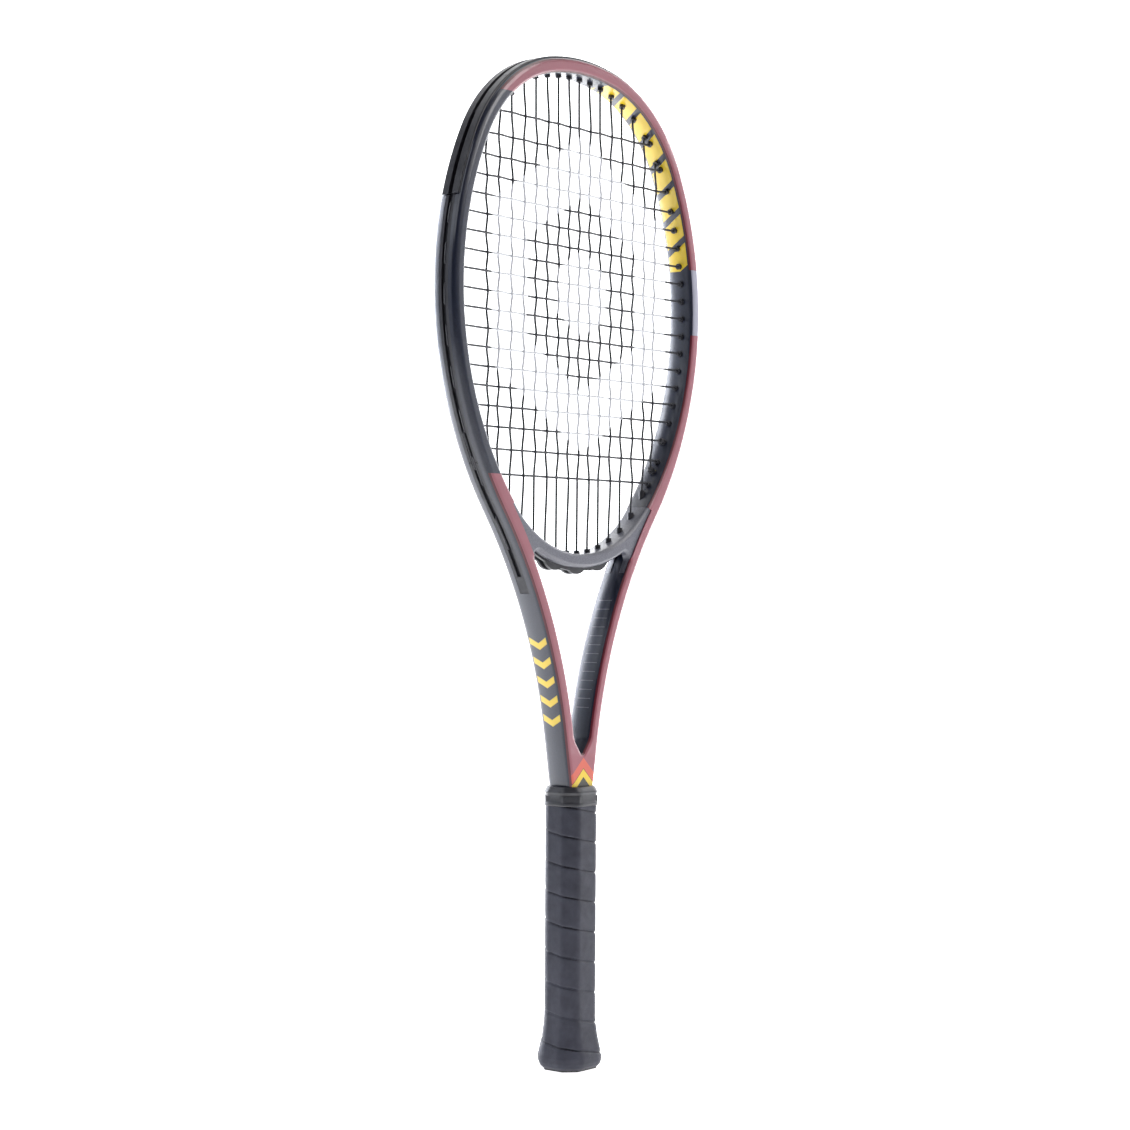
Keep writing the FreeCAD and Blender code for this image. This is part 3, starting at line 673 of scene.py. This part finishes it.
def string_piece(name, node, runs, material):
    """One continuous string: loops outside the hoop and woven runs inside it."""
    path = []
    for run in runs:
        path += run
    spaced = [path[0]]
    for place in path[1:]:
        if (place - spaced[-1]).length > 0.08:
            spaced.append(place)
    points, faces = tube(spaced, STRING_RADIUS, 10)
    piece = mesh_piece(name, points, faces)
    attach(piece, "racket")
    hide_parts(node)
    paint(piece, material)
    return piece


def lace(pairs, crossings, first_phase, start_tie, end_tie):
    """Runs through the hoop in order, joined by loops over the outside, with a knot at each end."""
    bend, mouth, anchor, inward = start_tie
    runs = [list(reversed(knot(bend, anchor, inward)))]
    before = [bend, mouth]
    for index, (enter, leave) in enumerate(pairs):
        ahead = (leave[0] - enter[0]).normalized()
        start, end = enter[0] + ahead * RUN_INSET, leave[0] - ahead * RUN_INSET
        runs.append(rounded(before + [enter[1], enter[0], start], TURN_RADIUS))
        runs.append(woven(start, end, crossings(enter[0], leave[0]), first_phase(index, ahead)))
        before = [end, leave[0], leave[1]]
    bend, mouth, anchor, inward = end_tie
    runs.append(rounded(before + [mouth, bend], TURN_RADIUS))
    runs.append(knot(bend, anchor, inward))
    return runs


def build_strings(material):
    xs, zs = main_places(), cross_places()
    tops = [hole(x, "x", False, MAIN_Y) for x in xs]
    lows = [hole(x, "x", True, MAIN_Y, straight=True) for x in xs[:-1]]
    lows.append(hole(LAST_MAIN_LOW_Z, "z", True, MAIN_Y))
    rights = [hole(z, "z", False, CROSS_Y) for z in zs]
    columns = [(-x, flip(low), flip(top)) for x, low, top in reversed(list(zip(xs, lows, tops)))]
    columns += [(x, low, top) for x, low, top in zip(xs, lows, tops)]
    pairs = []
    for index, (_, low, top) in enumerate(columns):
        pairs.append((low, top) if index % 2 == 0 else (top, low))

    def rows_met(a, b):
        low, high = min(a.z, b.z), max(a.z, b.z)
        return [Vector((a.x, 0, z)) for z in zs if low + CLEAR_OF_RIM < z < high - CLEAR_OF_RIM]

    def columns_met(a, b):
        low, high = min(a.x, b.x), max(a.x, b.x)
        return [Vector((x, 0, a.z)) for x, _, _ in columns
                if low + CLEAR_OF_RIM < x < high - CLEAR_OF_RIM]

    def main_phase(index, ahead):
        """Parity of the first crossing met, so that both strings agree at every crossing."""
        low, top = columns[index][1][0].z, columns[index][2][0].z
        met = [k for k, z in enumerate(zs) if low + CLEAR_OF_RIM < z < top - CLEAR_OF_RIM]
        return index + (met[-1] if ahead.z > 0 else met[0])

    def cross_phase(index, ahead):
        half = abs(rights[index][0].x)
        met = [i for i, column in enumerate(columns) if abs(column[0]) < half - CLEAR_OF_RIM]
        return index + (met[0] if ahead.x > 0 else met[-1]) + 1

    inward = Vector((-1, 0, 0))
    bend, mouth = hole(zs[MAIN_TIE_CROSS], "z", True, MAIN_Y)
    anchor = rights[MAIN_TIE_CROSS][0]
    right_tie = (bend, mouth, anchor, inward)
    left_tie = (*flip((bend, mouth, anchor)), -inward)
    main = lace(pairs, rows_met, main_phase, left_tie, right_tie)
    string_piece("main_string_woven", "main_string", main, material)

    rows = []
    for index, right in enumerate(rights):
        left = flip(right)
        rows.append((left, right) if index % 2 == 0 else (right, left))
    top = flip(hole(xs[CROSS_TIE_MAIN], "x", False, CROSS_Y))
    low = hole(LAST_MAIN_LOW_Z, "z", True, CROSS_Y)
    tie_top = (*top, flip(tops[CROSS_TIE_MAIN])[0], -UP)
    tie_low = (*low, lows[-1][0], UP)
    cross = lace(rows, columns_met, cross_phase, tie_top, tie_low)
    string_piece("cross_string_woven", "cross_string", cross, material)


# ---- handle ------------------------------------------------------------------------------------
def octagon_ring(width, depth, rounding, count):
    """Points round a softened octagon with 45 degree bevels, evenly spread, starting at +X."""
    bevel = depth * BEVEL_SHARE
    w, d = width / 2, depth / 2
    corners = [(w, d - bevel), (w - bevel, d), (bevel - w, d), (-w, d - bevel),
               (-w, bevel - d), (bevel - w, -d), (w - bevel, -d), (w, bevel - d)]
    fine = []
    for index, corner in enumerate(corners):
        here = Vector((*corner, 0))
        before = Vector((*corners[index - 1], 0)) - here
        after = Vector((*corners[(index + 1) % 8], 0)) - here
        reach = min(rounding, before.length * 0.45, after.length * 0.45)
        start, end = here + before.normalized() * reach, here + after.normalized() * reach
        for step in range(9):
            t = step / 8
            fine.append(start * (1 - t) ** 2 + here * 2 * t * (1 - t) + end * t * t)
    fine.append(fine[0].copy())
    lengths = [0.0]
    for a, b in zip(fine, fine[1:]):
        lengths.append(lengths[-1] + (b - a).length)
    ring, index = [], 0
    for step in range(count):
        want = lengths[-1] * step / count
        while lengths[index + 1] < want:
            index += 1
        t = (want - lengths[index]) / (lengths[index + 1] - lengths[index])
        ring.append(fine[index].lerp(fine[index + 1], t))
    return ring


def flare_at(z):
    """How much wider the handle is than its straight part at this height."""
    if z >= FLARE[0][0]:
        return 0.0
    for (high, one), (low, two) in zip(FLARE, FLARE[1:]):
        if low <= z <= high:
            t = (high - z) / (high - low)
            ease = t * t * (3 - 2 * t) if one == 0.0 else t
            return one + (two - one) * ease
    return FLARE[-1][1]


def outward_normals(ring):
    """The level outward direction at each point of a closed ring."""
    normals = []
    for index in range(len(ring)):
        tangent = ring[(index + 1) % len(ring)] - ring[index - 1]
        normals.append(Vector((tangent.y, -tangent.x, 0)).normalized())
    return normals


def side_faces(rows, around):
    """Faces between stacked rings of points, for this number of rows of faces."""
    faces = []
    for row in range(rows):
        for index in range(around):
            a, b = row * around + index, row * around + (index + 1) % around
            faces.append((a, b, b + around, a + around))
    return faces


WRAP_PITCH = 20.3
WRAP_START_Z = 15.2
AROUND = 168
GRIP_ROWS = 460
CURL_REACH, CURL_DEPTH = 2.4, 0.9


def seam_depth(gap):
    """Height of the wrap's surface at this distance above the nearest seam below it."""
    t = gap % WRAP_PITCH
    groove = -0.75 * math.exp(-(min(t, WRAP_PITCH - t) / 0.6) ** 2)
    shoulder = -0.22 * math.exp(-(t / 2.2))
    roll = -0.16 * math.exp(-((WRAP_PITCH - t) / 1.6))
    return groove + shoulder + roll


def build_grip(material):
    """The wound grip: a softened octagon with one helical seam, flaring over the cap."""
    base = octagon_ring(GRIP_W, GRIP_D, 2.6, AROUND)
    outward = outward_normals(base)
    corner = Vector((-0.7, -0.7, 0)).normalized()
    start = min(range(AROUND), key=lambda i: (base[i].normalized() - corner).length)
    points, seam_shade = [], []
    for row in range(GRIP_ROWS + 1):
        z = GRIP_BOTTOM_Z + (GRIP_TOP_Z - GRIP_BOTTOM_Z) * row / GRIP_ROWS
        grow = flare_at(z) / 2
        edge = min(z - GRIP_BOTTOM_Z, CURL_REACH)
        curl = -CURL_DEPTH * (1 - math.sqrt(max(0.0, 1 - (1 - edge / CURL_REACH) ** 2)))
        for index, place in enumerate(base):
            turn = ((index - start) % AROUND) / AROUND
            height = seam_depth(z - WRAP_START_Z + WRAP_PITCH * turn)
            bevel = (2 * outward[index].x * outward[index].y) ** 2
            # painted shade weight in the seam groove, stronger on the 45 degree bevels
            seam_shade.append(min(1.0, (height / -0.6) ** 4) * (0.4 + 0.6 * bevel))
            points.append(place + outward[index] * (grow + height - 0.1 + curl) + UP * z)
    faces = side_faces(GRIP_ROWS, AROUND)
    inner = len(points)
    for z in (GRIP_BOTTOM_Z, GRIP_TOP_Z):
        grow = flare_at(z) / 2 - 1.8
        for index, place in enumerate(base):
            points.append(place + outward[index] * grow + UP * z)
    top = GRIP_ROWS * AROUND
    for index in range(AROUND):
        after = (index + 1) % AROUND
        faces.append((index, inner + index, inner + after, after))
        faces.append((top + after, inner + AROUND + after, inner + AROUND + index, top + index))
        faces.append((inner + index, inner + AROUND + index, inner + AROUND + after, inner + after))
    seam_shade += [0.0] * (len(points) - len(seam_shade))
    piece = mesh_piece("grip_wrap_wound", points, faces)
    piece.data.attributes.new("seam", "FLOAT", "POINT").data.foreach_set("value", seam_shade)
    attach(piece, "racket")
    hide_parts("grip_wrap")
    paint(piece, material)
    return piece


# profile of the collar: height share, reach out from the grip's face, and how much bevels lose
COLLAR_PROFILE = [(0.0, 0.1, 0.0), (0.015, 0.7, 0.0), (0.06, 1.0, 0.0), (0.15, 1.0, 0.1),
                  (0.21, 0.85, 0.2), (0.25, 0.45, 0.5), (0.30, 0.35, 0.6), (0.50, 0.35, 0.6),
                  (0.62, 0.4, 0.6), (0.67, 0.75, 0.3), (0.72, 0.9, 0.2), (0.77, 0.75, 0.2),
                  (0.86, -0.1, 0.1), (0.95, -0.9, 0.0), (0.985, -1.3, 0.0), (1.0, -1.9, 0.0),
                  (1.0, -4.0, 0.0)]


def build_collar(material):
    """The rubber ring over the end of the grip: a rolled lower lip, a waist and a stepped top."""
    low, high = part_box("grip_collar")
    width, depth = (high.x - low.x) / MM, (high.y - low.y) / MM
    base = octagon_ring(width - 2.0, depth - 2.0, 3.4, AROUND)
    outward = outward_normals(base)
    points = []
    for share, out, loss in COLLAR_PROFILE:
        z = COLLAR_LOW + (COLLAR_HIGH - COLLAR_LOW) * share
        for place, normal in zip(base, outward):
            bevel = (2 * normal.x * normal.y) ** 4
            points.append(place + normal * (out - loss * bevel) + UP * z)
    faces = side_faces(len(COLLAR_PROFILE) - 1, AROUND)
    piece = mesh_piece("grip_collar_ring", points, faces)
    thick = piece.modifiers.new("thick", "SUBSURF")
    thick.levels = thick.render_levels = 1
    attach(piece, "racket")
    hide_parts("grip_collar")
    paint(piece, material)
    return piece


# ---- surroundings ------------------------------------------------------------------------------
VIEW_ANGLE = 50.945
VIEW_DISTANCE = 1.6367
VIEW_HEIGHT = 0.3246
LENS = 76.53
PITCH, YAW, ROLL = 0.594, 0.174, 0.332
FLOOR_START, FLOOR_END = -6000.0, 1200.0
SWEEP_RADIUS, SWEEP_STEPS = 900.0, 16
WALL_TOP, FLOOR_HALF = 3600.0, 2600.0


def build_camera():
    ahead = Vector((math.sin(math.radians(VIEW_ANGLE)), math.cos(math.radians(VIEW_ANGLE)), 0))
    data = bpy.data.cameras.new("camera")
    data.lens = LENS
    data.sensor_width = 36.0
    data.clip_end = 60.0
    camera = bpy.data.objects.new("camera", data)
    aim = Matrix.Rotation(math.radians(YAW), 3, "Z") @ ahead
    look = aim.to_track_quat("-Z", "Y").to_matrix()
    tilt = Matrix.Rotation(math.radians(PITCH), 3, "X")
    roll = Matrix.Rotation(math.radians(ROLL), 3, "Z")
    place = Matrix.Translation(-ahead * VIEW_DISTANCE + UP * VIEW_HEIGHT)
    camera.matrix_world = place @ (look @ tilt @ roll).to_4x4()
    bpy.context.scene.collection.objects.link(camera)
    bpy.context.scene.camera = camera
    return ahead


def build_backdrop(ahead, side):
    """A pale sweep: floor, a wide curve and a wall behind the racket; it glows as painted light,
    brightly from just in front of the racket backwards and faintly nearer the camera.
    """
    s = Shader("pale_floor_painted_glow")
    along = s.add(s.times(s.x, ahead.x), s.times(s.y, ahead.y))
    # painted light: the sweep itself glows at 0.95 from about 0.36 m in front of the racket
    # backwards, fading to 0.05 nearer the camera
    painted_light_glow = s.range(s.step(along, -360.0, 80.0), 0.0, 1.0, 0.05, 0.95)
    base = s.blend(s.noise(0.004), FLOOR_DARK, FLOOR_PALE)
    material = s.set(Base_Color=base, Roughness=0.85, Specular_IOR_Level=0.1,
                     Emission_Color=(1.0, 1.0, 1.0), Emission_Strength=painted_light_glow)
    profile = [(FLOOR_START, 0.0), (FLOOR_END, 0.0)]
    for step in range(1, SWEEP_STEPS + 1):
        angle = math.pi / 2 * step / SWEEP_STEPS
        reach, high = math.sin(angle), 1 - math.cos(angle)
        profile.append((FLOOR_END + SWEEP_RADIUS * reach, SWEEP_RADIUS * high))
    profile.append((FLOOR_END + SWEEP_RADIUS, WALL_TOP))
    points, faces = [], []
    for across in (-FLOOR_HALF, FLOOR_HALF):
        for reach, high in profile:
            points.append(ahead * reach + side * across + UP * high)
    count = len(profile)
    for index in range(count - 1):
        faces.append((index, index + count, index + count + 1, index + 1))
    floor = mesh_piece("pale_sweep", points, faces)
    floor.data.materials.append(material)


def area_light(name, place, target, width, height, power, colour=(1, 1, 1)):
    data = bpy.data.lights.new(name, "AREA")
    data.shape = "RECTANGLE"
    data.size, data.size_y = width, height
    data.energy = power
    data.color = colour
    light = bpy.data.objects.new(name, data)
    aim = (target - place).to_track_quat("-Z", "Y").to_matrix().to_4x4()
    light.matrix_world = Matrix.Translation(place) @ aim
    bpy.context.scene.collection.objects.link(light)


# softboxes: name, azimuth and height angle from the racket, distance, width, height, power, colour
SOFTBOXES = [("rim_right", -5.0, 3.0, 2.0, 1.3, 2.2, 36.0, (0.97, 0.98, 1.0)),
             ("front_low", -41.0, 6.0, 2.3, 1.2, 2.0, 7.0, (0.95, 0.96, 1.0)),
             ("front_high", -65.0, 38.0, 2.4, 1.3, 1.3, 28.0, (1.0, 0.98, 0.97)),
             ("rim_left", 92.0, 4.0, 2.3, 0.9, 2.2, 78.0, (0.86, 0.90, 1.0)),
             ("left_low", 127.0, 4.0, 2.2, 1.5, 2.2, 8.5, (0.86, 0.91, 1.0)),
             ("left_high", 165.0, 38.0, 2.4, 1.3, 1.3, 15.0, (0.90, 0.94, 1.0))]


def build_lights(ahead):
    world = bpy.data.worlds.new("studio")
    world.use_nodes = True
    world.node_tree.nodes["Background"].inputs["Color"].default_value = (0.72, 0.80, 1.0, 1.0)
    world.node_tree.nodes["Background"].inputs["Strength"].default_value = 0.06
    bpy.context.scene.world = world
    middle = UP * 0.36
    for name, azimuth, rise, distance, width, height, power, colour in SOFTBOXES:
        turn, lift = math.radians(azimuth), math.radians(rise)
        level = math.cos(lift)
        aim = Vector((math.cos(turn) * level, math.sin(turn) * level, math.sin(lift)))
        area_light(name, middle + aim * distance, middle, width, height, power, colour)
    area_light("backdrop_light", ahead * 0.7 + UP * 3.0, ahead * 2.0 + UP * 0.4, 4.0, 2.0, 40.0)
    bpy.context.scene.view_settings.view_transform = "Standard"


def main():
    paint(settled_copy("frame_hairpin", "frame_shell"), frame_paint())
    bridge = settled_copy("throat_bridge", "bridge_shell", reshape=meet_rim)
    paint(bridge, bridge_paint())
    nylon = moulded("strip_nylon", (0.016, 0.016, 0.020), (0.030, 0.030, 0.036), 0.42)
    guard = moulded("bumper_nylon", (0.018, 0.018, 0.022), (0.036, 0.036, 0.042), 0.38)
    paint(settled_copy("head_bumper", "bumper_shell"), guard)
    for node in ("left_side_strip", "right_side_strip", "left_shaft_strip", "right_shaft_strip",
                 "throat_strip"):
        paint(settled_copy(node, node + "_shell"), nylon)
    build_strings(string_material())
    build_grip(grip_material())
    rubber = moulded("collar_rubber", (0.026, 0.026, 0.030), (0.040, 0.040, 0.046), 0.34, 0.05)
    build_collar(rubber)
    plain = {"handle_pallet": foam(), "butt_cap": guard, "butt_cap_cover": nylon,
             "butt_cap_staples": steel(), "grip_tack": steel(), "finishing_tape": nylon}
    for node, material in plain.items():
        holder = frame["nodes"][node]
        holder.data.materials.clear()
        holder.data.materials.append(material)
    ahead = build_camera()
    side = Vector((ahead.y, -ahead.x, 0))
    build_backdrop(ahead, side)
    build_lights(ahead)


main()
bpy.context.view_layer.update()
